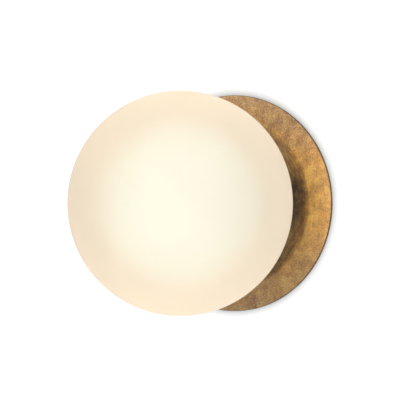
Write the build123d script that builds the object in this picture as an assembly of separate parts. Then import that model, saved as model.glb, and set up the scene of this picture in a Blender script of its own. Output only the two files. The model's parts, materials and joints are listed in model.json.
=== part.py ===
from build123d import *
from math import cos, radians, sin, sqrt, tan
import os

# Flush mount wall sconce: an opal glass globe on a round brass drum and wall plate.
# Each piece is shaped with the sconce on its back: the wall is the plane z = 0, the globe's axis is Z,
# and a height is a distance from the wall. upright() then turns it, so that the wall is the plane y = 0,
# the globe points along -Y and +Z is up. All sizes are in millimetres.

# Fits and clearances
THREAD_GAP = 0.05  # between a thread and the hole that it is screwed into
HOLE_GAP = 0.3  # round a screw or rivet in its clearance hole
SLIP_GAP = 0.15  # round a piece that is slipped into another
CONTACT_GAP = 0.3  # between a fixed piece and a moving one that touches it in use

# Shares
ROUND_SHARE = 0.45  # the most of an edge that a rounding at each end of it takes up
LONE_ROUND_SHARE = 0.8  # the most of an edge that a rounding at one end of it takes up
HEAD_ROUND_SHARE = 0.4  # of a screw's or rivet's head height, rounded over
LEAD_BEND_SHARE = 0.45  # of the shorter run beside a bend, taken up by the bend
LEAD_TURN_SHARE = 2 / 3  # of a lead's way down or up, where it turns towards its end
RIGHT_ACROSS = 3  # radii: longer than a diameter, so that a cut runs right across

# Wall strap and the studs that carry the fixture
SLOT_SPACING = 88.9
SLOT_LENGTH = 12.0
SLOT_WIDTH = 5.0
STRAP_END = 3.0  # metal left beyond a slot
STRAP_WIDTH = 18.0
STRAP_THICKNESS = 2.0
STUD_CLEAR = 3.9  # between a stud's washer and the lampholder
EARTH_SCREW_X = 14.0

# M4 fasteners
SCREW_R = 2.0
HEAD_R = 3.6
HEAD_HEIGHT = 2.4
DRIVE_SLOT_WIDTH = 0.9
DRIVE_SLOT_DEPTH = 1.1
NUT_FLATS = 7.0
NUT_HEIGHT = 3.2
WASHER_R = 4.6
WASHER_THICKNESS = 0.8
STUD_ENTRY = 5.0  # of a stud, in its cap nut
CAP_NUT_SPARE = 0.6  # of the cap nut's hole, beyond the stud
CAP_NUT_CROWN = 2.4  # of metal above the hole
CAP_NUT_HEX_HEIGHT = 3.6

# Wall plate
PLATE_R = 100.0
PLATE_THICKNESS = 3.0
PLATE_EDGE_ROUND = 0.7
OPENING_GAP = 2.0  # beyond the strap's ends
COUNTERSINK_R = 3.9
COUNTERSINK_DEPTH = 2.0

# Drum
DRUM_WALL = 1.2
DRUM_BEND_R = 1.5
DRUM_RIM_ROUND = 0.4
DRUM_GLASS_GAP = 1.0  # between the rim and the globe
BEAD_GAP = 2.4  # between the neck's bead and the drum

# Chassis, which stands on hex standoffs
STANDOFF_COUNT = 3
STANDOFF_FIRST_ANGLE = 30.0
STANDOFF_FLATS = 7.0
STANDOFF_LENGTH = 12.7
STANDOFF_SCREW_GAP = 0.7  # between the two screws in a standoff
FLANGE_EDGE = 1.0  # of the drum's flange, between its opening and a standoff
CHASSIS_THICKNESS = 1.2
CHASSIS_GAP = 0.5

# Globe, its seat and its clips, one between each two standoffs
GLOBE_R = 100.0
GLOBE_WALL = 3.0
NECK_LENGTH = 16.7
NECK_BLEND_R = 3.0
BEAD_STEP = 1.4
BEAD_HEIGHT = 3.4
BEAD_ROUND = 1.1
SEAT_GAP = 0.2
GASKET_THICKNESS = 1.6
GASKET_EDGE = 1.3  # of the gasket, showing inside and outside the neck
GASKET_ROUND = 0.4
GASKET_CLEAR = 1.2  # between the gasket and a standoff
CLIP_WIDTH = 10.0
CLIP_THICKNESS = 0.6
CLIP_GAP = 0.4  # between a clip and the neck's inside
CLIP_CATCH = 1.2  # how far a clip's bulge reaches behind the neck
CLIP_LEAN = 3.1  # of its leg, from the foot to the neck
CLIP_FOOT = 10.2
CLIP_CATCH_HEIGHT = 4.5
CLIP_TIP_HEIGHT = 5.5
CLIP_TIP_LEAN = 3.2
CLIP_BEND_R = 1.6
CLIP_RIVET_INSET = 4.2
RIVET_R = 1.5
RIVET_HEAD_R = 2.6
RIVET_HEAD_HEIGHT = 1.0

# Leads, grommet and terminal block
LEAD_R = 1.1
LEAD_PAIR_X = 2.2
LEAD_Y = -6.0
LEAD_ENTRY = 6.0  # into the porcelain
GROMMET_WALL = 1.5
GROMMET_LIP = 1.4
GROMMET_LIP_HEIGHT = 1.2
GROMMET_ROUND = 0.4
POCKET_GAP = 0.7  # round the grommet, under the porcelain
POCKET_SPARE = 1.8  # above the grommet
BLOCK_LENGTH = 16.0
BLOCK_END = 5.5  # of the block, beyond its outer poles
BLOCK_HEIGHT = 11.5
BLOCK_Y = -32.0
BLOCK_ROUND = 0.8
POLE_PITCH = 8.5
POLE_HEIGHT = 5.9  # of a pole's axis, from the chassis
POLE_TUBE_WALL = 0.7
POLE_TUBE_INSET = 0.5
POLE_SCREW_Y = 4.5  # from the block's middle
POLE_SCREW_R = 1.25
POLE_SCREW_HEAD_R = 1.8
POLE_SCREW_HEAD_HEIGHT = 1.6
BLOCK_SCREW_R = 1.25
BLOCK_SCREW_HEAD_R = 2.3
BLOCK_SCREW_HEAD_HEIGHT = 1.6
BLOCK_SCREW_ENTRY = 6.0
LEAD_POLE_ENTRY = 5.5
LUG_EDGE = 0.2  # of the lug, beyond the screw's head
LUG_THICKNESS = 0.8
LUG_BARREL_WALL = 0.6
LUG_BARREL_LENGTH = 5.0
LUG_BARREL_CLEAR = 0.7  # between the barrel and the screw's head

# Screw-in bulb, with heights counted from its contact
BULB_LENGTH = 108.0
BULB_R = 30.0
THREAD_PITCH = 3.629
THREAD_CREST_R = 13.05
THREAD_DEPTH = 0.75
THREAD_TURNS = 4
CAP_WALL = 0.7
CAP_START = 5.4
CAP_TAPER = 0.7
CAP_COLLAR = 6.0
BUTTON_R = 4.6
BUTTON_HEIGHT = 2.2
BUTTON_DOME = 1.0
INSULATOR_START = 1.2
INSULATOR_NOSE = 1.0
INSULATOR_GRIP = 3.1  # of the insulator, inside the cap
SPIGOT_LENGTH = 7.0
HOUSING_SWELL = 1.6
DIFFUSER_DROP = 18.0  # of the dome's edge, below its widest height
DIFFUSER_WALL = 1.5
BOARD_EDGE = 1.5
BOARD_THICKNESS = 1.6
CHIP_COUNT = 10
CHIP_SIZE = 2.8
CHIP_HEIGHT = 0.8
CHIP_EDGE = 8.0  # from the board's edge to the ring of chips

# Lampholder, which is as deep as the bulb's cap
HOLDER_WALL = 4.9
HOLDER_FOOT_STEP = 2.5
HOLDER_FOOT_HEIGHT = 9.0
HOLDER_FLOOR_WEB = 2.0  # of porcelain between the leads and the contact's well
HOLDER_ROUND = 1.1
HOLDER_SCREW_WEB = 2.0  # of porcelain between the well and a screw
HOLDER_SCREW_ENTRY = 7.5
HOLDER_SCREW_SPARE = 0.7  # of the blind hole, beyond the screw
CONTACT_WELL_R = 9.0
CONTACT_WELL_DEPTH = 4.0
SHELL_GAP = 0.4  # between the shell and the bulb's thread
SHELL_WALL = 0.5
SHELL_LIP = 0.8  # how far the porcelain stands above the shell
SHELL_RIVET_R = 0.9
SHELL_RIVET_HEAD_R = 1.6
SHELL_RIVET_HEAD_HEIGHT = 0.9
SHELL_RIVET_DEPTH = 2.0
CONTACT_WIDTH = 6.0
CONTACT_THICKNESS = 0.5
CONTACT_EDGE = 0.8  # between the tongue's foot and the well's wall
CONTACT_RISE = 4.2  # of the tongue above the well's floor
CONTACT_RAMP = 2.2  # of the tongue in plan, where it rises
CONTACT_END_Y = -4.0
CONTACT_BEND_R = 0.8
CONTACT_SCREW_INSET = 1.8  # from the end of the tongue's foot
CONTACT_SCREW_R = 1.0
CONTACT_SCREW_HEAD_R = 1.4
CONTACT_SCREW_HEAD_HEIGHT = 1.6
CONTACT_SCREW_CLEAR = 1.0  # between the screw's head and the ramp
CONTACT_SCREW_DEPTH = 4.5


# Small sums that the derived sizes use
def hex_corner(flats):
    """Radius of a hexagon's corners."""
    return flats / 2 / cos(radians(30))


def below_sphere(sphere_r, radius):
    """Distance from a sphere's centre down to its surface at a radius from the axis."""
    return sqrt(sphere_r**2 - radius**2)


def around(count, radius, first_angle):
    """Places of a ring of like pieces, each with its angle."""
    angles = [first_angle + 360 / count * i for i in range(count)]
    return [((radius * cos(radians(a)), radius * sin(radians(a))), a) for a in angles]


# Radii and heights from the strap out to the drum
STRAP_LENGTH = SLOT_SPACING + SLOT_LENGTH + 2 * STRAP_END
OPENING_R = STRAP_LENGTH / 2 + OPENING_GAP
STANDOFF_CIRCLE_R = OPENING_R + FLANGE_EDGE + hex_corner(STANDOFF_FLATS)
STANDOFF_PLACES = [place for place, angle in around(STANDOFF_COUNT, STANDOFF_CIRCLE_R, STANDOFF_FIRST_ANGLE)]
STANDOFF_SCREW_ENTRY = (STANDOFF_LENGTH - STANDOFF_SCREW_GAP) / 2
GASKET_IN_R = STANDOFF_CIRCLE_R + hex_corner(STANDOFF_FLATS) + GASKET_CLEAR
NECK_IN_R = GASKET_IN_R + GASKET_EDGE
NECK_R = NECK_IN_R + GLOBE_WALL
GASKET_R = NECK_R + GASKET_EDGE
BEAD_R = NECK_R + BEAD_STEP
DRUM_IN_R = BEAD_R + BEAD_GAP
DRUM_R = DRUM_IN_R + DRUM_WALL
FLANGE_FACE = PLATE_THICKNESS + DRUM_WALL
CHASSIS_BACK = FLANGE_FACE + STANDOFF_LENGTH
CHASSIS_FACE = CHASSIS_BACK + CHASSIS_THICKNESS
NECK_END = CHASSIS_FACE + GASKET_THICKNESS + SEAT_GAP
NECK_TOP = NECK_END + NECK_LENGTH
GLOBE_CENTRE = NECK_TOP + below_sphere(GLOBE_R, NECK_R)
GLOBE_IN_R = GLOBE_R - GLOBE_WALL
NECK_MOUTH = GLOBE_CENTRE - below_sphere(GLOBE_IN_R, NECK_IN_R)
DRUM_RIM = GLOBE_CENTRE - below_sphere(GLOBE_R + DRUM_GLASS_GAP, DRUM_IN_R)
CLIP_NECK_R = NECK_IN_R - CLIP_GAP - CLIP_THICKNESS / 2
CLIP_HEEL_R = CLIP_NECK_R - CLIP_LEAN
CLIP_FOOT_R = CLIP_HEEL_R - CLIP_FOOT
CLIP_FIRST_ANGLE = STANDOFF_FIRST_ANGLE + 180 / STANDOFF_COUNT
CLIP_RING = around(STANDOFF_COUNT, CLIP_FOOT_R + CLIP_RIVET_INSET, CLIP_FIRST_ANGLE)
CLIP_RIVET_PLACES = [place for place, angle in CLIP_RING]

# Lampholder and bulb
HOLDER_FLOOR = LEAD_ENTRY + HOLDER_FLOOR_WEB
WELL_FLOOR = CHASSIS_FACE + HOLDER_FLOOR
SHELL_BASE = WELL_FLOOR + CONTACT_WELL_DEPTH
BULB_BASE = WELL_FLOOR + CONTACT_RISE + CONTACT_THICKNESS + CONTACT_GAP
THREAD_ROOT_R = THREAD_CREST_R - THREAD_DEPTH
THREAD_START = CAP_START + CAP_WALL
THREAD_END = THREAD_START + THREAD_TURNS * THREAD_PITCH
CAP_END = THREAD_END + CAP_TAPER + CAP_COLLAR
CAP_IN_R = THREAD_ROOT_R - CAP_WALL
HOLDER_MOUTH = BULB_BASE + CAP_END - CONTACT_GAP
SHELL_BORE_R = THREAD_CREST_R + SHELL_GAP
SHELL_R = SHELL_BORE_R + SHELL_WALL
HOLDER_BORE_R = SHELL_R + SLIP_GAP
HOLDER_R = HOLDER_BORE_R + HOLDER_WALL
HOLDER_FOOT_R = HOLDER_R + HOLDER_FOOT_STEP
HOLDER_SCREW_X = CONTACT_WELL_R + HOLDER_SCREW_WEB + SCREW_R
HOLDER_SCREW_PLACES = [(-HOLDER_SCREW_X, 0), (HOLDER_SCREW_X, 0)]
SHELL_RIVET_Y = (CONTACT_WELL_R + SHELL_R) / 2
SHELL_RIVET_PLACES = [(0, -SHELL_RIVET_Y), (0, SHELL_RIVET_Y)]
CONTACT_FOOT_Y = below_sphere(CONTACT_WELL_R - CONTACT_EDGE, CONTACT_WIDTH / 2)
CONTACT_SCREW_Y = CONTACT_FOOT_Y - CONTACT_SCREW_INSET
CONTACT_BEND_Y = CONTACT_SCREW_Y - CONTACT_SCREW_HEAD_R - CONTACT_SCREW_CLEAR
BULB_CENTRE = BULB_LENGTH - BULB_R
HOUSING_TOP = BULB_CENTRE - DIFFUSER_DROP
HOUSING_TOP_R = below_sphere(BULB_R, DIFFUSER_DROP)
BOARD_R = HOUSING_TOP_R - DIFFUSER_WALL - BOARD_EDGE

# Studs, leads and terminal block
STUD_X = HOLDER_FOOT_R + STUD_CLEAR + WASHER_R
STUD_PLACES = [(-STUD_X, 0), (STUD_X, 0)]
STUD_TOP = CHASSIS_FACE + WASHER_THICKNESS + STUD_ENTRY
CAP_NUT_DEPTH = STUD_ENTRY + CAP_NUT_SPARE
CAP_NUT_HEIGHT = CAP_NUT_DEPTH + CAP_NUT_CROWN
GROMMET_R = LEAD_PAIR_X + LEAD_R + HOLE_GAP
GROMMET_HOLE_R = GROMMET_R + GROMMET_WALL
GROMMET_LIP_R = GROMMET_HOLE_R + GROMMET_LIP
POLE_AXIS = CHASSIS_BACK - POLE_HEIGHT
POLE_XS = [-POLE_PITCH, 0, POLE_PITCH]
POLE_BORE_R = LEAD_R + HOLE_GAP
POLE_TUBE_R = POLE_BORE_R + POLE_TUBE_WALL
BLOCK_WIDTH = 2 * (POLE_PITCH + BLOCK_END)
BLOCK_TOP_Y = BLOCK_Y + BLOCK_LENGTH / 2
BLOCK_SCREW_PLACES = [(-POLE_PITCH / 2, BLOCK_Y), (POLE_PITCH / 2, BLOCK_Y)]
LUG_R = HEAD_R + LUG_EDGE
LUG_BARREL_START = HEAD_R + LUG_BARREL_CLEAR
LUG_BARREL_END = LUG_BARREL_START + LUG_BARREL_LENGTH
LUG_BARREL_R = LEAD_R + SLIP_GAP + LUG_BARREL_WALL
EARTH_AXIS = STRAP_THICKNESS + LUG_BARREL_R

UPWARD = (Align.CENTER, Align.CENTER, Align.MIN)


# Shared shapes
def upright(shape):
    """Turns a piece from its back to its place on the wall."""
    return Rot(90, 0, 0) * shape


def turned(*corners):
    """Solid of revolution about Z, from corners given as (radius, height, rounding)."""
    points = [(radius, height) for radius, height, rounding in corners]
    rounding = [rounding for radius, height, rounding in corners]
    return revolve(Plane.XZ * make_face(FilletPolyline(points, radius=rounding, close=True)), Axis.Z)


def disc(radius, height, base=0.0, place=(0, 0)):
    """Upright cylinder that stands on a height, at a place in plan."""
    return Pos(*place, base) * Cylinder(radius, height, align=UPWARD)


def hexagon(flats, height, base=0.0, place=(0, 0)):
    """Upright hexagonal bar that stands on a height, at a place in plan."""
    return Pos(*place, base) * extrude(RegularPolygon(hex_corner(flats), 6), height)


def group(pieces):
    """Like pieces kept as separate solids of one node."""
    return Compound(children=list(pieces))


def bored(shape, radius, places, base, height):
    """A shape with like round holes through a stretch of its height."""
    for place in places:
        shape -= disc(radius, height, base, place)
    return shape


def pan_screw(radius, length, head_r, head_height):
    """Slotted pan-head screw whose head sits on z = 0 and whose shank points down."""
    head = disc(head_r, head_height)
    head = fillet(head.edges().sort_by(Axis.Z)[-1], HEAD_ROUND_SHARE * head_height)
    slot = Box(RIGHT_ACROSS * head_r, DRIVE_SLOT_WIDTH, DRIVE_SLOT_DEPTH)
    head -= Pos(0, 0, head_height - DRIVE_SLOT_DEPTH / 2) * slot
    return head + disc(radius, length, -length)


def rivet(radius, head_r, head_height, length, tail_height):
    """Rivet whose head sits on z = 0, whose shank points down and whose tail is spread below it."""
    head = disc(head_r, head_height)
    head = fillet(head.edges().sort_by(Axis.Z)[-1], HEAD_ROUND_SHARE * head_height)
    return head + disc(radius, length, -length) + disc(head_r, tail_height, -length - tail_height)


def strip(points, bend_r, width, thickness):
    """Bent strip of an even thickness along points given as (radius, height)."""
    path = Plane.XZ * FilletPolyline(points, radius=bend_r)
    section = Plane(origin=path @ 0, x_dir=(0, 1, 0), z_dir=path % 0) * Rectangle(width, thickness)
    return sweep(section, path)


def lead(points):
    """Insulated wire along straight runs, joined by arcs as large as the runs allow."""
    runs = [Vector(b) - Vector(a) for a, b in zip(points, points[1:])]
    bend_rs = []
    for before, after in zip(runs, runs[1:]):
        half_turn = radians(before.get_angle(after) / 2)
        bend_rs.append(LEAD_BEND_SHARE * min(before.length, after.length) / tan(half_turn))
    path = FilletPolyline(points, radius=bend_rs)
    return sweep(Plane(origin=path @ 0, z_dir=path % 0) * Circle(LEAD_R), path)


# Wall strap, its studs and the earth bond
def mounting_strap():
    """Steel bar with a slot near each end, tapped for the studs and the earth screw."""
    plan = SlotOverall(STRAP_LENGTH, STRAP_WIDTH)
    for side in (-1, 1):
        plan -= Pos(side * SLOT_SPACING / 2, 0) * SlotOverall(SLOT_LENGTH, SLOT_WIDTH)
    strap = extrude(plan, STRAP_THICKNESS)
    tapped = STUD_PLACES + [(EARTH_SCREW_X, 0)]
    return bored(strap, SCREW_R + THREAD_GAP, tapped, 0, STRAP_THICKNESS)


def strap_studs():
    """Threaded studs that stand on the strap."""
    return group(disc(SCREW_R, STUD_TOP, 0, place) for place in STUD_PLACES)


def stud_locknuts():
    """Nuts that lock the studs in the strap."""
    nut = hexagon(NUT_FLATS, NUT_HEIGHT) - disc(SCREW_R + THREAD_GAP, NUT_HEIGHT)
    return group(Pos(*place, STRAP_THICKNESS) * nut for place in STUD_PLACES)


def cap_washers():
    """Flat washers under the cap nuts."""
    washer = disc(WASHER_R, WASHER_THICKNESS) - disc(SCREW_R + HOLE_GAP, WASHER_THICKNESS)
    return group(Pos(*place, CHASSIS_FACE) * washer for place in STUD_PLACES)


def cap_nuts():
    """Domed nuts that hold the chassis on the studs."""
    dome = disc(NUT_FLATS / 2, CAP_NUT_HEIGHT)
    dome = fillet(dome.edges().sort_by(Axis.Z)[-1], NUT_FLATS / 2 - THREAD_GAP)
    nut = hexagon(NUT_FLATS, CAP_NUT_HEX_HEIGHT) + dome - disc(SCREW_R + THREAD_GAP, CAP_NUT_DEPTH)
    return group(Pos(*place, CHASSIS_FACE + WASHER_THICKNESS) * nut for place in STUD_PLACES)


def earth_screw():
    """Screw that clamps the earth lug on the strap."""
    clamped = STRAP_THICKNESS + LUG_THICKNESS
    return Pos(EARTH_SCREW_X, 0, clamped) * pan_screw(SCREW_R, clamped, HEAD_R, HEAD_HEIGHT)


def earth_lug():
    """Ring lug with a crimped barrel for the earth lead."""
    tongue = Box(2 * LUG_BARREL_R, LUG_BARREL_END, LUG_THICKNESS)
    lug = disc(LUG_R, LUG_THICKNESS) + Pos(0, -LUG_BARREL_END / 2, LUG_THICKNESS / 2) * tongue
    lug += Pos(0, 0, LUG_BARREL_R) * Rot(90, 0, 0) * disc(LUG_BARREL_R, LUG_BARREL_LENGTH, LUG_BARREL_START)
    bore_r = LEAD_R + SLIP_GAP
    lug -= Pos(0, 0, LUG_BARREL_R) * Rot(90, 0, 0) * disc(bore_r, LUG_BARREL_LENGTH, LUG_BARREL_START)
    lug -= disc(SCREW_R + HOLE_GAP, LUG_THICKNESS)
    return Pos(EARTH_SCREW_X, 0, STRAP_THICKNESS) * lug


# Wall plate, drum and chassis
def backplate():
    """Brass wall plate with an opening over the wall box and countersunk holes in its back."""
    plate = turned(
        (OPENING_R, 0, 0),
        (PLATE_R, 0, 0),
        (PLATE_R, PLATE_THICKNESS, PLATE_EDGE_ROUND),
        (OPENING_R, PLATE_THICKNESS, 0),
    )
    plate = bored(plate, SCREW_R + HOLE_GAP, STANDOFF_PLACES, 0, PLATE_THICKNESS)
    sink = Cone(COUNTERSINK_R + HOLE_GAP, SCREW_R + HOLE_GAP, COUNTERSINK_DEPTH, align=UPWARD)
    for place in STANDOFF_PLACES:
        plate -= Pos(*place, 0) * sink
    return plate


def drum():
    """Spun brass drum: a wall that ends just short of the globe, and a flange on the wall plate."""
    shell = turned(
        (OPENING_R, PLATE_THICKNESS, 0),
        (DRUM_R, PLATE_THICKNESS, DRUM_BEND_R),
        (DRUM_R, DRUM_RIM, DRUM_RIM_ROUND),
        (DRUM_IN_R, DRUM_RIM, DRUM_RIM_ROUND),
        (DRUM_IN_R, FLANGE_FACE, max(DRUM_BEND_R - DRUM_WALL, 0)),
        (OPENING_R, FLANGE_FACE, 0),
    )
    return bored(shell, SCREW_R + HOLE_GAP, STANDOFF_PLACES, PLATE_THICKNESS, DRUM_WALL)


def standoffs():
    """Hex spacers, tapped through, between the drum's flange and the chassis."""
    bar = hexagon(STANDOFF_FLATS, STANDOFF_LENGTH) - disc(SCREW_R + THREAD_GAP, STANDOFF_LENGTH)
    return group(Pos(*place, FLANGE_FACE) * bar for place in STANDOFF_PLACES)


def rear_screws():
    """Countersunk screws from the back, through the plate and the drum's flange."""
    head = Cone(COUNTERSINK_R, SCREW_R, COUNTERSINK_DEPTH, align=UPWARD)
    head -= Box(RIGHT_ACROSS * COUNTERSINK_R, DRIVE_SLOT_WIDTH, DRIVE_SLOT_DEPTH, align=UPWARD)
    shank = disc(SCREW_R, FLANGE_FACE + STANDOFF_SCREW_ENTRY - COUNTERSINK_DEPTH, COUNTERSINK_DEPTH)
    return group(Pos(*place, 0) * (head + shank) for place in STANDOFF_PLACES)


def front_screws():
    """Pan-head screws that hold the chassis on the standoffs."""
    screw = pan_screw(SCREW_R, CHASSIS_THICKNESS + STANDOFF_SCREW_ENTRY, HEAD_R, HEAD_HEIGHT)
    return group(Pos(*place, CHASSIS_FACE) * screw for place in STANDOFF_PLACES)


def chassis_plate():
    """Painted steel disc that carries the globe's seat, the lampholder and the terminal block."""
    plate = disc(DRUM_IN_R - CHASSIS_GAP, CHASSIS_THICKNESS, CHASSIS_BACK)
    holes = [
        (SCREW_R, STUD_PLACES + STANDOFF_PLACES + HOLDER_SCREW_PLACES),
        (BLOCK_SCREW_R, BLOCK_SCREW_PLACES),
        (RIVET_R, CLIP_RIVET_PLACES),
    ]
    for radius, places in holes:
        plate = bored(plate, radius + HOLE_GAP, places, CHASSIS_BACK, CHASSIS_THICKNESS)
    return bored(plate, GROMMET_HOLE_R, [(0, LEAD_Y)], CHASSIS_BACK, CHASSIS_THICKNESS)


# Globe, its seat and its clips
def opal_globe():
    """Blown glass globe with a short neck that ends in a bead."""
    bead_top = NECK_END + BEAD_HEIGHT
    outside = ThreePointArc((0, GLOBE_CENTRE + GLOBE_R), (GLOBE_R, GLOBE_CENTRE), (NECK_R, NECK_TOP))
    inside = ThreePointArc(
        (NECK_IN_R, NECK_MOUTH), (GLOBE_IN_R, GLOBE_CENTRE), (0, GLOBE_CENTRE + GLOBE_IN_R)
    )
    neck = Polyline(
        (NECK_R, NECK_TOP),
        (NECK_R, bead_top),
        (BEAD_R, bead_top),
        (BEAD_R, NECK_END),
        (NECK_IN_R, NECK_END),
        (NECK_IN_R, NECK_MOUTH),
    )
    crown = Line((0, GLOBE_CENTRE + GLOBE_IN_R), (0, GLOBE_CENTRE + GLOBE_R))
    profile = make_face([outside, neck, inside, crown])
    bead_round = min(BEAD_ROUND, LONE_ROUND_SHARE * BEAD_STEP, ROUND_SHARE * BEAD_HEIGHT)
    rounded = [
        ((NECK_R, NECK_TOP), NECK_BLEND_R),
        ((NECK_IN_R, NECK_MOUTH), NECK_BLEND_R),
        ((BEAD_R, bead_top), bead_round),
        ((BEAD_R, NECK_END), bead_round),
        ((NECK_IN_R, NECK_END), bead_round),
    ]
    for corner, rounding in rounded:
        profile = fillet(profile.vertices().sort_by_distance(corner)[0], rounding)
    return revolve(Plane.XZ * profile, Axis.Z)


def seat_gasket():
    """Flat silicone ring under the neck's bead."""
    return turned(
        (GASKET_IN_R, CHASSIS_FACE, 0),
        (GASKET_R, CHASSIS_FACE, 0),
        (GASKET_R, CHASSIS_FACE + GASKET_THICKNESS, GASKET_ROUND),
        (GASKET_IN_R, CHASSIS_FACE + GASKET_THICKNESS, GASKET_ROUND),
    )


def globe_clips():
    """Spring strips that stand inside the neck and bulge out behind it."""
    foot_height = CHASSIS_FACE + CLIP_THICKNESS / 2
    catch_height = NECK_MOUTH + CLIP_CATCH_HEIGHT
    catch_r = CLIP_NECK_R + CLIP_GAP + CLIP_CATCH
    clip = strip(
        [
            (CLIP_FOOT_R, foot_height),
            (CLIP_HEEL_R, foot_height),
            (CLIP_NECK_R, NECK_MOUTH),
            (catch_r, catch_height),
            (catch_r - CLIP_TIP_LEAN, catch_height + CLIP_TIP_HEIGHT),
        ],
        CLIP_BEND_R,
        CLIP_WIDTH,
        CLIP_THICKNESS,
    )
    clip -= disc(RIVET_R + HOLE_GAP, 2 * CLIP_THICKNESS, CHASSIS_FACE, (CLIP_FOOT_R + CLIP_RIVET_INSET, 0))
    return group(Rot(0, 0, angle) * clip for place, angle in CLIP_RING)


def clip_rivets():
    """Rivets that hold the clips on the chassis."""
    length = CLIP_THICKNESS + CHASSIS_THICKNESS
    one = rivet(RIVET_R, RIVET_HEAD_R, RIVET_HEAD_HEIGHT, length, RIVET_HEAD_HEIGHT)
    return group(Pos(*place, CHASSIS_FACE + CLIP_THICKNESS) * one for place in CLIP_RIVET_PLACES)


# Lampholder
def lampholder_body():
    """Porcelain body with a bore for the screw shell, a well for the contact and a pocket for the leads."""
    rounding = min(HOLDER_ROUND, ROUND_SHARE * HOLDER_FOOT_STEP, ROUND_SHARE * HOLDER_WALL)
    body = turned(
        (0, CHASSIS_FACE, 0),
        (HOLDER_FOOT_R, CHASSIS_FACE, 0),
        (HOLDER_FOOT_R, CHASSIS_FACE + HOLDER_FOOT_HEIGHT, rounding),
        (HOLDER_R, CHASSIS_FACE + HOLDER_FOOT_HEIGHT, rounding),
        (HOLDER_R, HOLDER_MOUTH, rounding),
        (HOLDER_BORE_R, HOLDER_MOUTH, rounding),
        (HOLDER_BORE_R, SHELL_BASE, 0),
        (CONTACT_WELL_R, SHELL_BASE, 0),
        (CONTACT_WELL_R, WELL_FLOOR, 0),
        (0, WELL_FLOOR, 0),
    )
    blind = HOLDER_SCREW_ENTRY + HOLDER_SCREW_SPARE
    body = bored(body, SCREW_R + THREAD_GAP, HOLDER_SCREW_PLACES, CHASSIS_FACE, blind)
    pocket_depth = GROMMET_LIP_HEIGHT + POCKET_SPARE
    body -= disc(GROMMET_LIP_R + POCKET_GAP, pocket_depth, CHASSIS_FACE, (0, LEAD_Y))
    lead_places = [(-LEAD_PAIR_X, LEAD_Y), (LEAD_PAIR_X, LEAD_Y)]
    body = bored(body, LEAD_R + SLIP_GAP, lead_places, CHASSIS_FACE, LEAD_ENTRY)
    screw_tip = WELL_FLOOR - CONTACT_SCREW_DEPTH
    body -= disc(CONTACT_SCREW_R + THREAD_GAP, CONTACT_SCREW_DEPTH, screw_tip, (0, CONTACT_SCREW_Y))
    rivet_tip = SHELL_BASE - SHELL_RIVET_DEPTH
    return bored(body, SHELL_RIVET_R + THREAD_GAP, SHELL_RIVET_PLACES, rivet_tip, SHELL_RIVET_DEPTH)


def screw_shell():
    """Metal shell that takes the bulb's cap, with a floor that is riveted to the porcelain."""
    shell = turned(
        (CONTACT_WELL_R, SHELL_BASE, 0),
        (SHELL_R, SHELL_BASE, 0),
        (SHELL_R, HOLDER_MOUTH - SHELL_LIP, 0),
        (SHELL_BORE_R, HOLDER_MOUTH - SHELL_LIP, 0),
        (SHELL_BORE_R, SHELL_BASE + SHELL_WALL, 0),
        (CONTACT_WELL_R, SHELL_BASE + SHELL_WALL, 0),
    )
    return bored(shell, SHELL_RIVET_R + THREAD_GAP, SHELL_RIVET_PLACES, SHELL_BASE, SHELL_WALL)


def shell_rivets():
    """Rivets through the shell's floor."""
    head = disc(SHELL_RIVET_HEAD_R, SHELL_RIVET_HEAD_HEIGHT)
    head = fillet(head.edges().sort_by(Axis.Z)[-1], HEAD_ROUND_SHARE * SHELL_RIVET_HEAD_HEIGHT)
    depth = SHELL_RIVET_DEPTH + SHELL_WALL
    one = head + disc(SHELL_RIVET_R, depth, -depth)
    return group(Pos(*place, SHELL_BASE + SHELL_WALL) * one for place in SHELL_RIVET_PLACES)


def centre_contact():
    """Spring tongue that rises from the well's floor to the bulb's contact."""
    low = WELL_FLOOR + CONTACT_THICKNESS / 2
    high = low + CONTACT_RISE
    top_y = CONTACT_BEND_Y - CONTACT_RAMP
    tongue = strip(
        [(CONTACT_FOOT_Y, low), (CONTACT_BEND_Y, low), (top_y, high), (CONTACT_END_Y, high)],
        CONTACT_BEND_R,
        CONTACT_WIDTH,
        CONTACT_THICKNESS,
    )
    tongue -= disc(CONTACT_SCREW_R + THREAD_GAP, CONTACT_THICKNESS, WELL_FLOOR, (CONTACT_SCREW_Y, 0))
    return Rot(0, 0, 90) * tongue


def contact_screw():
    """Screw that holds the tongue's foot in the porcelain."""
    length = CONTACT_SCREW_DEPTH + CONTACT_THICKNESS
    screw = pan_screw(CONTACT_SCREW_R, length, CONTACT_SCREW_HEAD_R, CONTACT_SCREW_HEAD_HEIGHT)
    return Pos(0, CONTACT_SCREW_Y, WELL_FLOOR + CONTACT_THICKNESS) * screw


def lampholder_screws():
    """Screws from behind the chassis into the porcelain."""
    screw = pan_screw(SCREW_R, CHASSIS_THICKNESS + HOLDER_SCREW_ENTRY, HEAD_R, HEAD_HEIGHT)
    return group(Pos(*place, CHASSIS_BACK) * Rot(180, 0, 0) * screw for place in HOLDER_SCREW_PLACES)


# Wiring inside
def lead_grommet():
    """Rubber grommet in the chassis, round both lampholder leads."""
    back = CHASSIS_BACK - GROMMET_LIP_HEIGHT
    front = CHASSIS_FACE + GROMMET_LIP_HEIGHT
    rounding = min(GROMMET_ROUND, LONE_ROUND_SHARE * GROMMET_LIP_HEIGHT)
    ring = turned(
        (GROMMET_R, back, 0),
        (GROMMET_LIP_R, back, rounding),
        (GROMMET_LIP_R, CHASSIS_BACK, 0),
        (GROMMET_HOLE_R, CHASSIS_BACK, 0),
        (GROMMET_HOLE_R, CHASSIS_FACE, 0),
        (GROMMET_LIP_R, CHASSIS_FACE, 0),
        (GROMMET_LIP_R, front, rounding),
        (GROMMET_R, front, 0),
    )
    return Pos(0, LEAD_Y, 0) * ring


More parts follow.
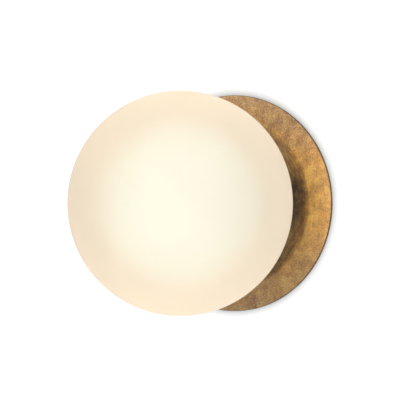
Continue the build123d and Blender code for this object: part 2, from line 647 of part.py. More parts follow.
def lampholder_lead(x, pole_x):
    """Lead from the porcelain, back through the grommet and down into a pole of the terminal block."""
    turn_y = LEAD_Y + LEAD_TURN_SHARE * (BLOCK_TOP_Y - LEAD_Y)
    points = [
        (x, LEAD_Y, CHASSIS_FACE + LEAD_ENTRY),
        (x, LEAD_Y, POLE_AXIS),
        (pole_x, turn_y, POLE_AXIS),
        (pole_x, BLOCK_TOP_Y - LEAD_POLE_ENTRY, POLE_AXIS),
    ]
    return lead(points)


def earth_lead():
    """Lead from the third pole to the lug on the strap."""
    turn_y = BLOCK_TOP_Y - LEAD_TURN_SHARE * (BLOCK_TOP_Y + LUG_BARREL_END)
    points = [
        (POLE_PITCH, BLOCK_TOP_Y - LEAD_POLE_ENTRY, POLE_AXIS),
        (POLE_PITCH, turn_y - LEAD_R, POLE_AXIS),
        (EARTH_SCREW_X, turn_y + LEAD_R, EARTH_AXIS),
        (EARTH_SCREW_X, -LUG_BARREL_START, EARTH_AXIS),
    ]
    return lead(points)


def terminal_block():
    """Nylon block on the chassis's back, with a bore for each pole and wells for its screws."""
    block = Pos(0, BLOCK_Y, CHASSIS_BACK - BLOCK_HEIGHT / 2) * Box(BLOCK_WIDTH, BLOCK_LENGTH, BLOCK_HEIGHT)
    block = fillet(block.edges().filter_by(Axis.Z), BLOCK_ROUND)
    well_depth = BLOCK_HEIGHT - POLE_HEIGHT
    for x in POLE_XS:
        block -= Pos(x, BLOCK_Y, POLE_AXIS) * Rot(90, 0, 0) * Cylinder(POLE_TUBE_R + SLIP_GAP, BLOCK_LENGTH)
        for side in (-1, 1):
            place = (x, BLOCK_Y + side * POLE_SCREW_Y)
            block -= disc(POLE_SCREW_HEAD_R + SLIP_GAP, well_depth, CHASSIS_BACK - BLOCK_HEIGHT, place)
    holes = BLOCK_SCREW_R + THREAD_GAP
    return bored(block, holes, BLOCK_SCREW_PLACES, CHASSIS_BACK - BLOCK_SCREW_ENTRY, BLOCK_SCREW_ENTRY)


def terminal_tubes():
    """Brass tube in each pole, tapped on its back for two screws."""
    length = BLOCK_LENGTH - 2 * POLE_TUBE_INSET
    tube = Rot(90, 0, 0) * (Cylinder(POLE_TUBE_R, length) - Cylinder(POLE_BORE_R, length))
    for side in (-1, 1):
        place = (0, side * POLE_SCREW_Y)
        tube -= disc(POLE_SCREW_R + THREAD_GAP, POLE_TUBE_R, -POLE_TUBE_R, place)
    return group(Pos(x, BLOCK_Y, POLE_AXIS) * tube for x in POLE_XS)


def terminal_screws():
    """Screws that clamp the wires in the poles."""
    tip = POLE_AXIS - LEAD_R - THREAD_GAP
    head_base = POLE_AXIS - POLE_TUBE_R - SLIP_GAP
    screw = pan_screw(POLE_SCREW_R, tip - head_base, POLE_SCREW_HEAD_R, POLE_SCREW_HEAD_HEIGHT)
    places = [(x, BLOCK_Y + side * POLE_SCREW_Y) for x in POLE_XS for side in (-1, 1)]
    return group(Pos(*place, head_base) * Rot(180, 0, 0) * screw for place in places)


def block_screws():
    """Screws from the chassis's front into the terminal block."""
    length = CHASSIS_THICKNESS + BLOCK_SCREW_ENTRY
    screw = pan_screw(BLOCK_SCREW_R, length, BLOCK_SCREW_HEAD_R, BLOCK_SCREW_HEAD_HEIGHT)
    return group(Pos(*place, CHASSIS_FACE) * screw for place in BLOCK_SCREW_PLACES)


# Bulb
def bulb_contact():
    """Domed button at the bulb's tip."""
    dome = TangentArc((0, 0), (BUTTON_R, BUTTON_DOME), tangent=(1, 0))
    rest = Polyline((BUTTON_R, BUTTON_DOME), (BUTTON_R, BUTTON_HEIGHT), (0, BUTTON_HEIGHT), (0, 0))
    return Pos(0, 0, BULB_BASE) * revolve(Plane.XZ * make_face([dome, rest]), Axis.Z)


def bulb_insulator():
    """Black cone that holds the button clear of the cap."""
    recess_r = BUTTON_R + SLIP_GAP
    cone = turned(
        (recess_r, INSULATOR_START, 0),
        (recess_r + INSULATOR_NOSE, INSULATOR_START, 0),
        (CAP_IN_R - SLIP_GAP, CAP_START, 0),
        (CAP_IN_R - SLIP_GAP, CAP_START + INSULATOR_GRIP, 0),
        (0, CAP_START + INSULATOR_GRIP, 0),
        (0, BUTTON_HEIGHT + SLIP_GAP, 0),
        (recess_r, BUTTON_HEIGHT + SLIP_GAP, 0),
    )
    return Pos(0, 0, BULB_BASE) * cone


def bulb_cap():
    """Metal cap with rounded thread ridges and a plain collar."""
    ridges = []
    for turn in range(THREAD_TURNS):
        low = THREAD_START + turn * THREAD_PITCH
        crest = (THREAD_CREST_R, low + THREAD_PITCH / 2)
        ridges.append(ThreePointArc((THREAD_ROOT_R, low), crest, (THREAD_ROOT_R, low + THREAD_PITCH)))
    rest = Polyline(
        (THREAD_ROOT_R, THREAD_END),
        (THREAD_CREST_R, CAP_END - CAP_COLLAR),
        (THREAD_CREST_R, CAP_END),
        (CAP_IN_R, CAP_END),
        (CAP_IN_R, CAP_START),
        (THREAD_ROOT_R, THREAD_START),
    )
    return Pos(0, 0, BULB_BASE) * revolve(Plane.XZ * make_face([*ridges, rest]), Axis.Z)


def bulb_housing():
    """Flared white housing that plugs into the cap and carries the board."""
    spigot_r = CAP_IN_R - SLIP_GAP
    waist = ((THREAD_CREST_R + HOUSING_TOP_R) / 2 - HOUSING_SWELL, (CAP_END + HOUSING_TOP) / 2)
    flare = ThreePointArc((THREAD_CREST_R, CAP_END), waist, (HOUSING_TOP_R, HOUSING_TOP))
    rest = Polyline(
        (HOUSING_TOP_R, HOUSING_TOP),
        (0, HOUSING_TOP),
        (0, CAP_END - SPIGOT_LENGTH),
        (spigot_r, CAP_END - SPIGOT_LENGTH),
        (spigot_r, CAP_END),
        (THREAD_CREST_R, CAP_END),
    )
    return Pos(0, 0, BULB_BASE) * revolve(Plane.XZ * make_face([flare, rest]), Axis.Z)


def led_board():
    """Round board on top of the housing."""
    return disc(BOARD_R, BOARD_THICKNESS, BULB_BASE + HOUSING_TOP)


def led_chips():
    """Ring of light-emitting chips on the board."""
    height = BULB_BASE + HOUSING_TOP + BOARD_THICKNESS + CHIP_HEIGHT / 2
    chip = Box(CHIP_SIZE, CHIP_SIZE, CHIP_HEIGHT)
    ring = around(CHIP_COUNT, BOARD_R - CHIP_EDGE, 0)
    return group(Pos(*place, height) * Rot(0, 0, angle) * chip for place, angle in ring)


def bulb_diffuser():
    """Frosted dome over the board."""
    inner_r = BULB_R - DIFFUSER_WALL
    inner_edge = below_sphere(inner_r, DIFFUSER_DROP)
    outside = ThreePointArc((0, BULB_LENGTH), (BULB_R, BULB_CENTRE), (HOUSING_TOP_R, HOUSING_TOP))
    edge = Line((HOUSING_TOP_R, HOUSING_TOP), (inner_edge, HOUSING_TOP))
    inside = ThreePointArc((inner_edge, HOUSING_TOP), (inner_r, BULB_CENTRE), (0, BULB_CENTRE + inner_r))
    crown = Line((0, BULB_CENTRE + inner_r), (0, BULB_LENGTH))
    profile = make_face([outside, edge, inside, crown])
    return Pos(0, 0, BULB_BASE) * revolve(Plane.XZ * profile, Axis.Z)


PIECES = {
    "mounting_strap": mounting_strap(),
    "strap_studs": strap_studs(),
    "stud_locknuts": stud_locknuts(),
    "cap_washers": cap_washers(),
    "cap_nuts": cap_nuts(),
    "earth_screw": earth_screw(),
    "earth_lug": earth_lug(),
    "backplate": backplate(),
    "drum": drum(),
    "standoffs": standoffs(),
    "rear_screws": rear_screws(),
    "front_screws": front_screws(),
    "chassis_plate": chassis_plate(),
    "opal_globe": opal_globe(),
    "seat_gasket": seat_gasket(),
    "globe_clips": globe_clips(),
    "clip_rivets": clip_rivets(),
    "lampholder_body": lampholder_body(),
    "screw_shell": screw_shell(),
    "shell_rivets": shell_rivets(),
    "centre_contact": centre_contact(),
    "contact_screw": contact_screw(),
    "lampholder_screws": lampholder_screws(),
    "lead_grommet": lead_grommet(),
    "live_lead": lampholder_lead(-LEAD_PAIR_X, -POLE_PITCH),
    "neutral_lead": lampholder_lead(LEAD_PAIR_X, 0),
    "earth_lead": earth_lead(),
    "terminal_block": terminal_block(),
    "terminal_tubes": terminal_tubes(),
    "terminal_screws": terminal_screws(),
    "block_screws": block_screws(),
    "bulb_contact": bulb_contact(),
    "bulb_insulator": bulb_insulator(),
    "bulb_cap": bulb_cap(),
    "bulb_housing": bulb_housing(),
    "led_board": led_board(),
    "led_chips": led_chips(),
    "bulb_diffuser": bulb_diffuser(),
}

os.makedirs("parts", exist_ok=True)
for node, shape in PIECES.items():
    export_step(upright(shape), f"parts/{node}.step")
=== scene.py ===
import json
from math import cos, pi, radians, sin

import bpy
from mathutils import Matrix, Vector


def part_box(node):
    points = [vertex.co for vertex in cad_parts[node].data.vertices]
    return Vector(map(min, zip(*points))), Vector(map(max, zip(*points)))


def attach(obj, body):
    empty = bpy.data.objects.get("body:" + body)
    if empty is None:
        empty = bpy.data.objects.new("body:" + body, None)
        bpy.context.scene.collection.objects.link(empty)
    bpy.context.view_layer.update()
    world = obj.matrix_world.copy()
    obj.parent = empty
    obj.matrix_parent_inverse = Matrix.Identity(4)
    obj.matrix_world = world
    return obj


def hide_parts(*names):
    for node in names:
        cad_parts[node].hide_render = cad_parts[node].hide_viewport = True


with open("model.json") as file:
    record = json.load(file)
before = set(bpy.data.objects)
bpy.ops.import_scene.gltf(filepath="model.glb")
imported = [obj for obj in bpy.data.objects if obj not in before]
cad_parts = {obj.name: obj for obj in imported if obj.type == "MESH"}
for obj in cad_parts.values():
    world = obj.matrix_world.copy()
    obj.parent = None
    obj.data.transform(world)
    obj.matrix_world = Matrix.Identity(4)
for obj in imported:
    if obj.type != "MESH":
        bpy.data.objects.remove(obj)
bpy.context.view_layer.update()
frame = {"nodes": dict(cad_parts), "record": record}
scene = bpy.context.scene

# The wall is the plane y = 0, the globe points along -Y and +Z is up. All sizes are in metres.
MM = 0.001

# Camera, level and to the right of the lamp
CAMERA_AZIMUTH = radians(26.98)
CAMERA_DISTANCE = 2.083
CAMERA_AIM = Vector((0.0, -0.069, 0.0))
CAMERA_RISE = 0.003
CAMERA_LENS_MM = 207.9
CAMERA_SENSOR_MM = 36.0
CAMERA_REACH = 100.0

# Studio: a white wall with a hole behind the plate, a pale floor and a soft surround
WALL_HOLE_R = 98 * MM
WALL_R = 6.0
WALL_SIDES = 96
WALL_WHITE = (0.91, 0.935, 0.965)
WALL_GLOW = 0.38
# The glow fades out inside these radii, which paints shadow round the plate
WALL_GLOW_START_R = 101.2 * MM
WALL_GLOW_END_R = 108.5 * MM
FLOOR_Z = -0.75
FLOOR_HALF = 6.0
SURROUND_COLOUR = (1.0, 1.0, 1.0, 1.0)
SURROUND_LIGHT = 0.9
SURROUND_SEEN = 1.0

# Square area lamps: place, size and power in watts
SOFTBOXES = {
    "overhead_softbox": ((0.0, -0.9, 1.9), 1.6, 3.6),
    "lower_softbox": ((0.0, -0.8, -0.72), 0.9, 3.0),
    "rear_softbox": ((-1.3, 1.7, 1.3), 1.2, 12.3),
}

# Most of a noise lies between these two values
NOISE_LOW = 0.3
NOISE_HIGH = 0.7
NO_STRETCH = (1.0, 1.0, 1.0)
NO_SHIFT = (0.0, 0.0, 0.0)

# Aged brass, colours
# Painted glow of the globe on the plate near the drum
BRASS_PAINTED_GLOW = (1.0, 0.555, 0.14)
# Painted highlight at mid height
BRASS_HIGHLIGHT_GOLD = (0.93, 0.485, 0.145)
BRASS_BROWN = (0.48, 0.284, 0.13)
BRASS_PINK = (0.6, 0.4, 0.28)
BRASS_BLOOM = (0.9, 0.69, 0.46)
# Dark of the pits, and painted shade on the plate's edge
BRASS_PIT_AND_EDGE_SHADE = (0.10, 0.06, 0.035)
# Painted shade on the drum and round its foot
BRASS_PAINTED_SHADE = (0.052, 0.037, 0.026)

# Aged brass, patterns: size of the grain and levels of finer detail. The shift of them all is in grains.
BRASS_GRAIN = (1.7 * MM, 4.0)
BRASS_STREAK = (1.2 * MM, 2.0)
BRASS_BLOTCH = (7.0 * MM, 3.0)
BRASS_TINT = (3.2 * MM, 4.0)
BRASS_SPECK = (1.0 * MM, 2.0)
BRASS_PIT = (2.6 * MM, 2.0)
BRASS_WANDER = (30 * MM, 2.0)
BRASS_STREAK_STRETCH = (1.0, 1.0, 5.0)
BRASS_SHIFT = (23.1, 15.9, 39.1)

# Aged brass, strengths: shares of the patterns, the noise where they start and are full, gloss, relief
STREAK_SHARE = 0.35
BLOTCH_SHARE = 0.5
TINT_SHARE = 0.34
TINT_NOISE = (0.45, 0.75)
BLOOM_SHARE = 0.5
BLOOM_NOISE = (0.5, 0.75)
PIT_SHARE = 0.6
PIT_NOISE = (0.67, 0.76)
PIT_DEPTH = 0.4
MOTTLE_SHADE = (0.6, 1.5)
SPECK_SHADE = (0.86, 1.14)
SHADE_REDDENING = 1.3
BRASS_METALLIC = 0.35
BRASS_SPECULAR = 0.2
BROWN_ROUGH = 0.6
GOLD_ROUGH = 0.48
PAINTED_SHADE_ROUGH = 0.95
MOTTLE_ROUGH = (0.06, -0.06)
BRASS_RELIEF = 0.12 * MM

# Aged brass, places: gold at mid height as painted highlight, brightest near the drum as painted glow from
# the globe, darker below and dark on the plate's edge as painted shade
FRONT_START = 2.4 * MM
FRONT_END = 2.8 * MM
HIGHLIGHT_Z = 22 * MM
HIGHLIGHT_END_Z = 78 * MM
HIGHLIGHT_WANDER = 70 * MM
GLOBE_GLOW_R = 82 * MM
GLOBE_GLOW_END_R = 95 * MM
# Painted shade: darker towards the bottom, lighter at the top
SHADE_Z = 95 * MM
SHADE_AT_BOTTOM = 0.67
SHADE_AT_TOP = 1.08
# Painted shade on the plate's edge
EDGE_SHADE_SHARE = 0.85
EDGE_SHADE_R = 99.4 * MM
EDGE_SHADE_END_R = 99.8 * MM

# Painted shade on the outside of the drum and round its foot, lighter at the foot, above and below, darkest
# at the rim
PLATE_FACE = 3.0 * MM
DRUM_FOOT = 3.2 * MM
DRUM_INSIDE_R = 74.2 * MM
DRUM_OUTSIDE_R = 74.6 * MM
DRUM_SHADE_LOST_AT_FOOT = 0.25
DRUM_SHADE_LOST_REACH = 8 * MM
FOOT_SHADE_ON_PLATE = 0.52
FOOT_SHADE_ON_PLATE_R = 76.5 * MM
FOOT_SHADE_ON_PLATE_END_R = 79.0 * MM
DRUM_SHADE_AT_TOP = 0.6
DRUM_SHADE_TOP_Z = 16 * MM
DRUM_SHADE_TOP_END_Z = 52 * MM
DRUM_SHADE_AT_BOTTOM = 0.82
DRUM_SHADE_BOTTOM_Z = -4 * MM
DRUM_SHADE_BOTTOM_END_Z = -26 * MM
DRUM_SHADE_AT_RIM = 0.9
DRUM_SHADE_RIM_START = 15 * MM
DRUM_SHADE_RIM_END = 30 * MM
SHADE_PATCHES = (1.12, 0.87)

# Opal glass: etched surface, light from inside, and a casing that tints the globe towards its rim
GLASS_ETCH = (0.6 * MM, 3.0)
GLASS_ETCH_RELIEF = 0.01 * MM
GLASS_ROUGH = (0.57, 0.67)
GLASS_TONE = (45.0 * MM, 1.0)
GLASS_BASE = (0.85, 0.848, 0.79)
GLASS_DRIFT = 0.012
GLASS_IOR = 1.45
GLASS_SPECULAR = 0.2
GLASS_CLEAR = 0.412
GLASS_GLOW = (1.0, 1.0, 0.75)
GLASS_GLOW_LEVEL = 0.17
GLASS_GLOW_AT_FRONT = -0.065
# Painted light: the glass is brighter at the top and bottom
GLASS_PAINTED_LIGHT_AT_POLES = 0.5
GLASS_GLOW_AT_NECK = 0.2
GLASS_NECK_START = 85 * MM
GLASS_NECK_END = 42 * MM
GLASS_CASING = (0.933, 0.86, 0.808)
GLASS_CASING_IOR = 1.3
GLASS_CASING_ROUGH = 0.7
GLASS_CASING_START = 0.018
GLASS_CASING_END = 0.429

# Bulb's frosted dome with its clear skin, and the chips on its board
BULB_FROST = (0.5 * MM, 3.0)
BULB_FROST_RELIEF = 0.01 * MM
BULB_DULL = (0.92, 0.9, 0.84)
BULB_PALE = (0.96, 0.94, 0.9)
BULB_ROUGH = (0.45, 0.6)
BULB_GLOW = (1.0, 0.95, 0.86)
BULB_GLOW_LEVEL = 1.5
BULB_SKIN = (0.5, 0.48, 0.45)
BULB_SKIN_IOR = 1.3
BULB_SKIN_ROUGH = 0.5
CHIP_CELL = (0.25 * MM, 4.0)
CHIP_CELL_RELIEF = 0.02 * MM
CHIP_DARK = (0.86, 0.62, 0.1)
CHIP_LIGHT = (0.95, 0.75, 0.2)
CHIP_ROUGH = (0.4, 0.6)
CHIP_GLOW = (1.0, 0.82, 0.5)
CHIP_GLOW_LEVEL = 3.0

# Plain finishes: dark and light colour, size of the grain, range of roughness, depth of the relief
METALS = {
    "bright_brass": ((0.62, 0.42, 0.16), (0.83, 0.6, 0.27), 0.5 * MM, (0.22, 0.4), 0.02 * MM),
    "zinc_steel": ((0.5, 0.51, 0.5), (0.72, 0.73, 0.71), 0.7 * MM, (0.28, 0.5), 0.02 * MM),
    "nickel": ((0.6, 0.57, 0.53), (0.78, 0.75, 0.7), 0.6 * MM, (0.16, 0.32), 0.012 * MM),
    "spring_steel": ((0.22, 0.23, 0.26), (0.4, 0.41, 0.43), 0.5 * MM, (0.25, 0.45), 0.015 * MM),
    "tinned_copper": ((0.52, 0.49, 0.44), (0.74, 0.72, 0.68), 0.5 * MM, (0.3, 0.5), 0.015 * MM),
    "earth_green": ((0.03, 0.2, 0.06), (0.08, 0.4, 0.14), 0.6 * MM, (0.25, 0.45), 0.02 * MM),
}
COATINGS = {
    "white_paint": ((0.76, 0.76, 0.74), (0.84, 0.84, 0.82), 1.0 * MM, (0.35, 0.5), 0.05 * MM),
    "silicone": ((0.66, 0.66, 0.64), (0.8, 0.8, 0.78), 0.9 * MM, (0.45, 0.65), 0.03 * MM),
    "black_rubber": ((0.012, 0.012, 0.012), (0.04, 0.04, 0.04), 0.4 * MM, (0.5, 0.75), 0.03 * MM),
    "black_wire": ((0.012, 0.012, 0.014), (0.035, 0.035, 0.04), 0.4 * MM, (0.3, 0.5), 0.015 * MM),
    "white_wire": ((0.68, 0.68, 0.65), (0.8, 0.8, 0.78), 0.4 * MM, (0.3, 0.5), 0.015 * MM),
    "green_wire": ((0.015, 0.15, 0.03), (0.035, 0.26, 0.06), 0.4 * MM, (0.3, 0.5), 0.015 * MM),
    "nylon": ((0.66, 0.64, 0.56), (0.8, 0.79, 0.72), 0.8 * MM, (0.35, 0.55), 0.03 * MM),
    "black_insulator": ((0.01, 0.008, 0.012), (0.03, 0.026, 0.034), 0.7 * MM, (0.08, 0.2), 0.015 * MM),
    "bulb_white": ((0.74, 0.74, 0.72), (0.82, 0.82, 0.8), 0.35 * MM, (0.3, 0.45), 0.012 * MM),
    "board_white": ((0.72, 0.73, 0.72), (0.86, 0.87, 0.86), 0.6 * MM, (0.3, 0.5), 0.01 * MM),
}
PORCELAIN = ((0.78, 0.76, 0.71), (0.86, 0.85, 0.81), 1.6 * MM, (0.1, 0.2), 0.02 * MM)
PORCELAIN_GLAZE = 0.6
FLOOR_PAINT = ((0.87, 0.87, 0.86), (0.92, 0.92, 0.91), 20 * MM, (0.6, 0.8), 0.1 * MM)
GRAIN_DETAIL = 5.0
DRIFT_DETAIL = 2.0
DRIFT_IN_GRAINS = 8
DRIFT_SHARE = 0.4

# Bulb's screw cap
CAP_PITCH = 3.629 * MM
CAP_DEPTH = 0.75 * MM
CAP_TURNS = 4
CAP_FADE_TURNS = 0.5
CAP_COLLAR = 6.0 * MM
CAP_WALL = 0.7 * MM
CAP_SIDES = 96
CAP_STEPS_PER_TURN = 12


def middle(node):
    """Middle of a node's box, with the box's two corners."""
    low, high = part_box(node)
    return (low + high) / 2, low, high


# Shader nodes
class Shader:
    """A material's node tree, with short calls for the nodes that the finishes use."""

    def __init__(self, name):
        self.material = bpy.data.materials.new(name)
        self.material.use_nodes = True
        self.tree = self.material.node_tree
        self.principled = self.tree.nodes["Principled BSDF"]
        self.place = self.node("ShaderNodeTexCoord").outputs["Object"]
        self.shift = NO_SHIFT

    def put(self, socket, value):
        """Sets an input to a value, or links another node's output to it."""
        if isinstance(value, bpy.types.NodeSocket):
            self.tree.links.new(value, socket)
        elif socket.type == "RGBA":
            socket.default_value = (*value, 1.0)
        else:
            socket.default_value = value

    def node(self, kind, inputs=None, **properties):
        """New node with its properties set, and its inputs set or linked."""
        made = self.tree.nodes.new(kind)
        for name, value in properties.items():
            setattr(made, name, value)
        for key, value in (inputs or {}).items():
            self.put(made.inputs[key], value)
        return made

    def surface(self, **inputs):
        """Sets or links inputs of the main shader, named with underscores for spaces."""
        for name, value in inputs.items():
            self.put(self.principled.inputs[name.replace("_", " ")], value)

    def axes(self):
        """The three coordinates of the place, in the lamp's frame as it is at rest."""
        return self.node("ShaderNodeSeparateXYZ", {"Vector": self.place}).outputs

    def noise(self, size, detail, stretch=NO_STRETCH):
        """Noise between 0 and 1, with a grain of about the given size, drawn out where stretch is over 1."""
        scale = [1.0 / (size * share) for share in stretch]
        mapping = {"Vector": self.place, "Location": self.shift, "Scale": scale}
        mapped = self.node("ShaderNodeMapping", mapping).outputs[0]
        inputs = {"Vector": mapped, "Scale": 1.0, "Detail": detail}
        return self.node("ShaderNodeTexNoise", inputs).outputs["Fac"]

    def spread(self, value, low, high, start=NOISE_LOW, end=NOISE_HIGH, **properties):
        """A value taken from the range start to end, to the range low to high."""
        inputs = {"Value": value, "From Min": start, "From Max": end, "To Min": low, "To Max": high}
        return self.node("ShaderNodeMapRange", inputs, **properties).outputs[0]

    def math(self, operation, first, second=0.0):
        """Function of one or two values."""
        return self.node("ShaderNodeMath", {0: first, 1: second}, operation=operation).outputs[0]

    def total(self, first, *others):
        """Sum of two or more values."""
        for other in others:
            first = self.math("ADD", first, other)
        return first

    def product(self, first, *others):
        """Product of two or more values."""
        for other in others:
            first = self.math("MULTIPLY", first, other)
        return first

    def length(self, first, second):
        """Length of a vector with two parts."""
        squares = self.total(self.product(first, first), self.product(second, second))
        return self.math("SQRT", squares)

    def between(self, share, first, second):
        """Value that goes from the first to the second with a share."""
        return self.node("ShaderNodeMix", {0: share, 2: first, 3: second}, data_type="FLOAT").outputs[0]

    def mix(self, share, first, second, blend="MIX"):
        """Blend of two colours."""
        inputs = {0: share, 6: first, 7: second}
        return self.node("ShaderNodeMix", inputs, data_type="RGBA", blend_type=blend).outputs[2]

    def shaded(self, colour, red, green, blue):
        """Colour with each of its channels multiplied by a value."""
        shade = self.node("ShaderNodeCombineColor", {0: red, 1: green, 2: blue}).outputs[0]
        return self.mix(1.0, colour, shade, "MULTIPLY")

    def relief(self, height, depth):
        """Bumps the surface by a height between 0 and 1 times a depth."""
        inputs = {"Height": height, "Distance": depth, "Strength": 1.0}
        self.surface(Normal=self.node("ShaderNodeBump", inputs).outputs["Normal"])


# Plain finishes
def grained(name, dark, light, grain, roughness, relief, **surface):
    """Finish whose colour, gloss and relief follow a grain and a wider drift."""
    shader = Shader(name)
    fine = shader.noise(grain, GRAIN_DETAIL)
    drift = shader.noise(DRIFT_IN_GRAINS * grain, DRIFT_DETAIL)
    mottle = shader.between(DRIFT_SHARE, fine, drift)
    shader.surface(
        Base_Color=shader.mix(shader.spread(mottle, 0.0, 1.0), dark, light),
        Roughness=shader.spread(fine, *roughness),
        **surface,
    )
    shader.relief(fine, relief)
    return shader.material


# Aged brass
def brass_mottle(shader):
    """Mottle of fine grain, upright streaks and wider blotches."""
    grain = shader.noise(*BRASS_GRAIN)
    streak = shader.noise(*BRASS_STREAK, BRASS_STREAK_STRETCH)
    blotch = shader.noise(*BRASS_BLOTCH)
    return shader.between(BLOTCH_SHARE, shader.between(STREAK_SHARE, grain, streak), blotch)


def brass_painted_highlight(shader, z):
    """Share of painted gold highlight: all of it at mid height, less above and below, with a wandering
    border.
    """
    half = HIGHLIGHT_WANDER / 2
    wander = shader.spread(shader.noise(*BRASS_WANDER), -half, half, 0.0, 1.0)
    height = shader.total(shader.math("ABSOLUTE", z), wander)
    return shader.spread(height, 1.0, 0.0, HIGHLIGHT_Z, HIGHLIGHT_END_Z)


def brass_patina_and_painted_light(shader, radius, z, highlight_share, mottle):
    """Colour from brown to gold, the gold being painted highlight at mid height and painted glow of the globe
    near the drum, tinted pink in places, speckled with bloom, shaded by the mottle and, as painted shade,
    darker towards the bottom.
    """
    # Painted glow of the globe, brightest near the drum
    painted_glow = shader.spread(radius, 1.0, 0.0, GLOBE_GLOW_R, GLOBE_GLOW_END_R)
    gold = shader.mix(painted_glow, BRASS_HIGHLIGHT_GOLD, BRASS_PAINTED_GLOW)
    # Painted highlight: gold at mid height over the brown
    colour = shader.mix(highlight_share, BRASS_BROWN, gold)
    tint = shader.spread(shader.noise(*BRASS_TINT), 0.0, TINT_SHARE, *TINT_NOISE)
    colour = shader.mix(tint, colour, BRASS_PINK)
    speck = shader.noise(*BRASS_SPECK)
    bloom = shader.spread(speck, 0.0, BLOOM_SHARE, *BLOOM_NOISE)
    colour = shader.mix(bloom, colour, BRASS_BLOOM)
    shade = shader.product(shader.spread(mottle, *MOTTLE_SHADE), shader.spread(speck, *SPECK_SHADE))
    colour = shader.shaded(colour, shade, shader.math("POWER", shade, SHADE_REDDENING), shade)
    # Painted shade: darker towards the bottom, lighter at the top
    height_shade = shader.spread(z, SHADE_AT_BOTTOM, SHADE_AT_TOP, -SHADE_Z, SHADE_Z)
    return shader.shaded(colour, height_shade, height_shade, height_shade)


def brass_painted_shade(shader, radius, y, z, mottle):
    """Share of painted shade on the outside of the drum and on the plate round its foot."""
    rise = shader.math("DIVIDE", shader.total(y, DRUM_FOOT), DRUM_SHADE_LOST_REACH)
    lost = shader.product(shader.math("EXPONENT", rise), DRUM_SHADE_LOST_AT_FOOT)
    on_drum = shader.math("SUBTRACT", 1.0, lost)
    on_plate = shader.spread(radius, FOOT_SHADE_ON_PLATE, 0.0, FOOT_SHADE_ON_PLATE_R, FOOT_SHADE_ON_PLATE_END_R)
    past_foot = shader.spread(y, 0.0, 1.0, -PLATE_FACE, -DRUM_FOOT)
    outside = shader.spread(radius, 0.0, 1.0, DRUM_INSIDE_R, DRUM_OUTSIDE_R)
    above = shader.spread(z, 1.0, DRUM_SHADE_AT_TOP, DRUM_SHADE_TOP_Z, DRUM_SHADE_TOP_END_Z)
    below = shader.spread(z, 1.0, DRUM_SHADE_AT_BOTTOM, DRUM_SHADE_BOTTOM_Z, DRUM_SHADE_BOTTOM_END_Z)
    rim = shader.spread(y, 0.0, DRUM_SHADE_AT_RIM, -DRUM_SHADE_RIM_START, -DRUM_SHADE_RIM_END)
    level = shader.math("MAXIMUM", shader.product(above, below), rim)
    patches = shader.spread(mottle, *SHADE_PATCHES)
    return shader.product(shader.between(past_foot, on_plate, on_drum), outside, level, patches)


def aged_brass():
    """Brass with a painted gold highlight at mid height, brown above and below, mottled, pitted, and with
    painted shade on and round the drum.
    """
    shader = Shader("aged_brass")
    shader.shift = BRASS_SHIFT
    x, y, z = shader.axes()
    radius = shader.length(x, z)
    mottle = brass_mottle(shader)
    front = shader.spread(y, 0.0, 1.0, -FRONT_START, -FRONT_END)
    # Painted gold highlight at mid height, on the front only
    highlight_share = shader.product(brass_painted_highlight(shader, z), front)
    pits = shader.spread(shader.noise(*BRASS_PIT), 0.0, PIT_SHARE, *PIT_NOISE)
    # Painted shade on the outside of the drum and round its foot
    painted_shade = shader.product(brass_painted_shade(shader, radius, y, z, mottle), front)
    # Painted shade on the plate's edge
    edge_shade = shader.spread(radius, 0.0, EDGE_SHADE_SHARE, EDGE_SHADE_R, EDGE_SHADE_END_R)
    colour = brass_patina_and_painted_light(shader, radius, z, highlight_share, mottle)
    # Pits are real dark marks; the other two colours are painted shade
    for share, pit_and_shade_colour in ((pits, BRASS_PIT_AND_EDGE_SHADE), (painted_shade, BRASS_PAINTED_SHADE), (edge_shade, BRASS_PIT_AND_EDGE_SHADE)):
        colour = shader.mix(share, colour, pit_and_shade_colour)
    unshaded_rough = shader.total(
        shader.between(highlight_share, BROWN_ROUGH, GOLD_ROUGH),
        shader.spread(mottle, *MOTTLE_ROUGH),
    )
    shader.surface(
        Base_Color=colour,
        Metallic=BRASS_METALLIC,
        Roughness=shader.between(painted_shade, unshaded_rough, PAINTED_SHADE_ROUGH),
        Specular_IOR_Level=BRASS_SPECULAR,
    )
    shader.relief(shader.math("SUBTRACT", mottle, shader.product(pits, PIT_DEPTH)), BRASS_RELIEF)
    return shader.material


# Globe and bulb
def glass_light(shader):
    """Light inside the globe, about 1, with more at the neck and a little less at the front, and more at the
    poles as painted light.
    """
    axes = shader.axes()
    low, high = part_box("opal_globe")
    reach = high.z
    middle_y = low.y + reach
    poles = shader.math("POWER", shader.math("DIVIDE", axes["Z"], reach), 2.0)
    neck = shader.spread(axes["Y"], 0.0, 1.0, -GLASS_NECK_START, -GLASS_NECK_END)
    neck = shader.math("POWER", neck, 2.0)
    front = shader.spread(axes["Y"], 0.0, GLASS_GLOW_AT_FRONT, middle_y, low.y)
    # Painted light at the poles, standing in for light from above and below
    painted_pole_light = shader.product(poles, GLASS_PAINTED_LIGHT_AT_POLES)
    at_neck = shader.product(neck, GLASS_GLOW_AT_NECK)
    return shader.total(front, at_neck, painted_pole_light, 1.0)


